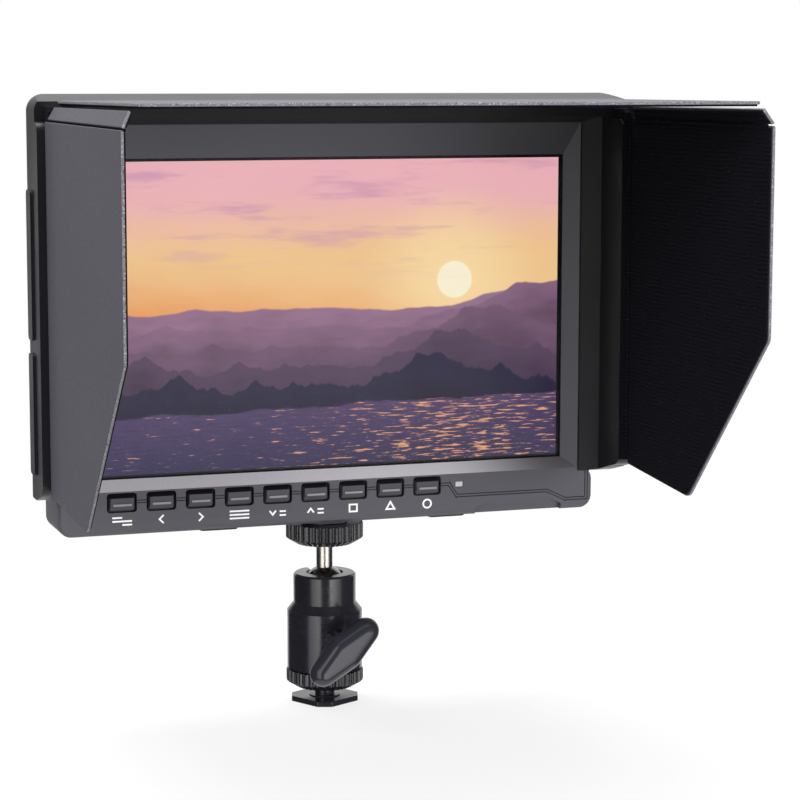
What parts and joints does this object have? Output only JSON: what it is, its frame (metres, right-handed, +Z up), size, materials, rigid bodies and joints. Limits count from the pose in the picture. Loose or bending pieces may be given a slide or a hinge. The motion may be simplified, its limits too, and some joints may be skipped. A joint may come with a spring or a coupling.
{
  "type": "camera field monitor with sun hood",
  "caption": "Flat camera-top monitor with a row of press keys, a fold-flat three-sided sun hood and a mini ball head on a shoe foot.",
  "frame": {"origin": "centre of the shoe foot's underside", "axes": "+Z up, the screen faces -Y, +X to the right as seen from the front"},
  "size_m": [0.1876, 0.1391, 0.1903],
  "materials": {
    "housing": "matte dark grey ABS",
    "keys": "matte dark grey",
    "glass": "polished",
    "gasket": "foam",
    "display": "lit picture",
    "steel": "satin",
    "brass": "satin",
    "circuit": "solder mask",
    "sockets": "matte black",
    "pads": "matte",
    "light": "translucent",
    "plate": "matte black",
    "latch": "matte red",
    "hood_frame": "satin black ABS",
    "hood_board": "fine leather grain",
    "flock": "black ribbed flock",
    "black_metal": "gloss black anodised",
    "nylon": "natural",
    "lever": "satin dark grey"
  },
  "bodies": {
    "ball_head": {"shoe_foot": "black_metal", "head_body": "black_metal", "head_plug": "black_metal", "ball_seat": "nylon", "clamp_piston": "brass"},
    "shoe_ring": {"shoe_wheel": "black_metal"},
    "lock_knob": {"lock_screw": "steel", "lock_lever": "lever"},
    "stem": {"ball_stem": "steel"},
    "stem_ring": {"top_wheel": "black_metal"},
    "monitor": {"front_housing": "housing", "rear_housing": "housing", "screen_glass": "glass", "glass_gasket": "gasket", "lcd_panel": "display", "lcd_bracket": "steel", "main_board": "circuit", "key_board": "circuit", "hdmi_socket": "steel", "power_socket": "sockets", "headphone_socket": "sockets", "speaker": "sockets", "housing_screws": "black_metal", "board_screws": "steel", "mount_insert": "brass", "bottom_pads": "pads", "status_light": "light", "battery_plate": "plate", "plate_screws": "steel", "battery_contacts": "brass", "hood_frame": "hood_frame"},
    "latch": {"battery_latch": "latch"},
    "top_shade": {"top_flap": "hood_board", "top_lining": "flock"},
    "left_shade": {"left_flap": "hood_board", "left_lining": "flock"},
    "left_shade_tab": {"left_tab": "hood_board", "left_tab_lining": "flock"},
    "right_shade": {"right_flap": "hood_board", "right_lining": "flock"},
    "right_shade_tab": {"right_tab": "hood_board", "right_tab_lining": "flock"},
    "key_1_cap": {"key_1": "keys"},
    "key_2_cap": {"key_2": "keys"},
    "key_3_cap": {"key_3": "keys"},
    "key_4_cap": {"key_4": "keys"},
    "key_5_cap": {"key_5": "keys"},
    "key_6_cap": {"key_6": "keys"},
    "key_7_cap": {"key_7": "keys"},
    "key_8_cap": {"key_8": "keys"},
    "key_9_cap": {"key_9": "keys"}
  },
  "joints": [
    {"name": "shoe_wheel_turn", "type": "hinge", "parent": "ball_head", "child": "shoe_ring", "pos_m": [0, 0, 0.0073], "axis": [0, 0, 1], "continuous": true},
    {"name": "lock_lever_turn", "type": "hinge", "parent": "ball_head", "child": "lock_knob", "pos_m": [0, -0.02, 0.0198], "axis": [0, -1, 0], "range_deg": [0, 180]},
    {"name": "ball_tilt", "type": "hinge", "parent": "ball_head", "child": "stem", "pos_m": [0, 0, 0.0366], "axis": [-1, 0, 0], "range_deg": [-25, 90]},
    {"name": "top_wheel_turn", "type": "hinge", "parent": "stem", "child": "stem_ring", "pos_m": [0, 0, 0.0536], "axis": [0, 0, 1], "continuous": true},
    {"name": "monitor_turn", "type": "hinge", "parent": "stem", "child": "monitor", "pos_m": [0, 0, 0.06], "axis": [0, 0, 1], "continuous": true},
    {"name": "battery_latch_slide", "type": "slide", "parent": "monitor", "child": "latch", "axis": [0, 0, -1], "range_m": [0, 0.003], "stiffness_N_per_m": 300},
    {"name": "top_flap_fold", "type": "hinge", "parent": "monitor", "child": "top_shade", "pos_m": [0, -0.0204, 0.1871], "axis": [1, 0, 0], "range_deg": [0, 90.4]},
    {"name": "left_flap_fold", "type": "hinge", "parent": "monitor", "child": "left_shade", "pos_m": [-0.0895, -0.024, 0.1266], "axis": [0, 0, 1], "range_deg": [0, 90]},
    {"name": "right_flap_fold", "type": "hinge", "parent": "monitor", "child": "right_shade", "pos_m": [0.0895, -0.03, 0.1266], "axis": [0, 0, -1], "range_deg": [0, 90]},
    {"name": "left_tab_fold", "type": "hinge", "parent": "left_shade", "child": "left_shade_tab", "pos_m": [-0.0895, -0.074, 0.1825], "axis": [0, 1, 0], "range_deg": [0, 148.2]},
    {"name": "right_tab_fold", "type": "hinge", "parent": "right_shade", "child": "right_shade_tab", "pos_m": [0.0895, -0.08, 0.1825], "axis": [0, -1, 0], "range_deg": [0, 148.2]},
    {"name": "key_1_press", "type": "slide", "parent": "monitor", "child": "key_1_cap", "axis": [0, 1, 0], "range_m": [0, 0.0005], "stiffness_N_per_m": 1500},
    {"name": "key_2_press", "type": "slide", "parent": "monitor", "child": "key_2_cap", "axis": [0, 1, 0], "range_m": [0, 0.0005], "stiffness_N_per_m": 1500},
    {"name": "key_3_press", "type": "slide", "parent": "monitor", "child": "key_3_cap", "axis": [0, 1, 0], "range_m": [0, 0.0005], "stiffness_N_per_m": 1500},
    {"name": "key_4_press", "type": "slide", "parent": "monitor", "child": "key_4_cap", "axis": [0, 1, 0], "range_m": [0, 0.0005], "stiffness_N_per_m": 1500},
    {"name": "key_5_press", "type": "slide", "parent": "monitor", "child": "key_5_cap", "axis": [0, 1, 0], "range_m": [0, 0.0005], "stiffness_N_per_m": 1500},
    {"name": "key_6_press", "type": "slide", "parent": "monitor", "child": "key_6_cap", "axis": [0, 1, 0], "range_m": [0, 0.0005], "stiffness_N_per_m": 1500},
    {"name": "key_7_press", "type": "slide", "parent": "monitor", "child": "key_7_cap", "axis": [0, 1, 0], "range_m": [0, 0.0005], "stiffness_N_per_m": 1500},
    {"name": "key_8_press", "type": "slide", "parent": "monitor", "child": "key_8_cap", "axis": [0, 1, 0], "range_m": [0, 0.0005], "stiffness_N_per_m": 1500},
    {"name": "key_9_press", "type": "slide", "parent": "monitor", "child": "key_9_cap", "axis": [0, 1, 0], "range_m": [0, 0.0005], "stiffness_N_per_m": 1500}
  ],
  "couplings": [
    {"joint": "left_tab_fold", "follows": "left_flap_fold", "ratio": 1.6444},
    {"joint": "right_tab_fold", "follows": "right_flap_fold", "ratio": 1.6444}
  ]
}
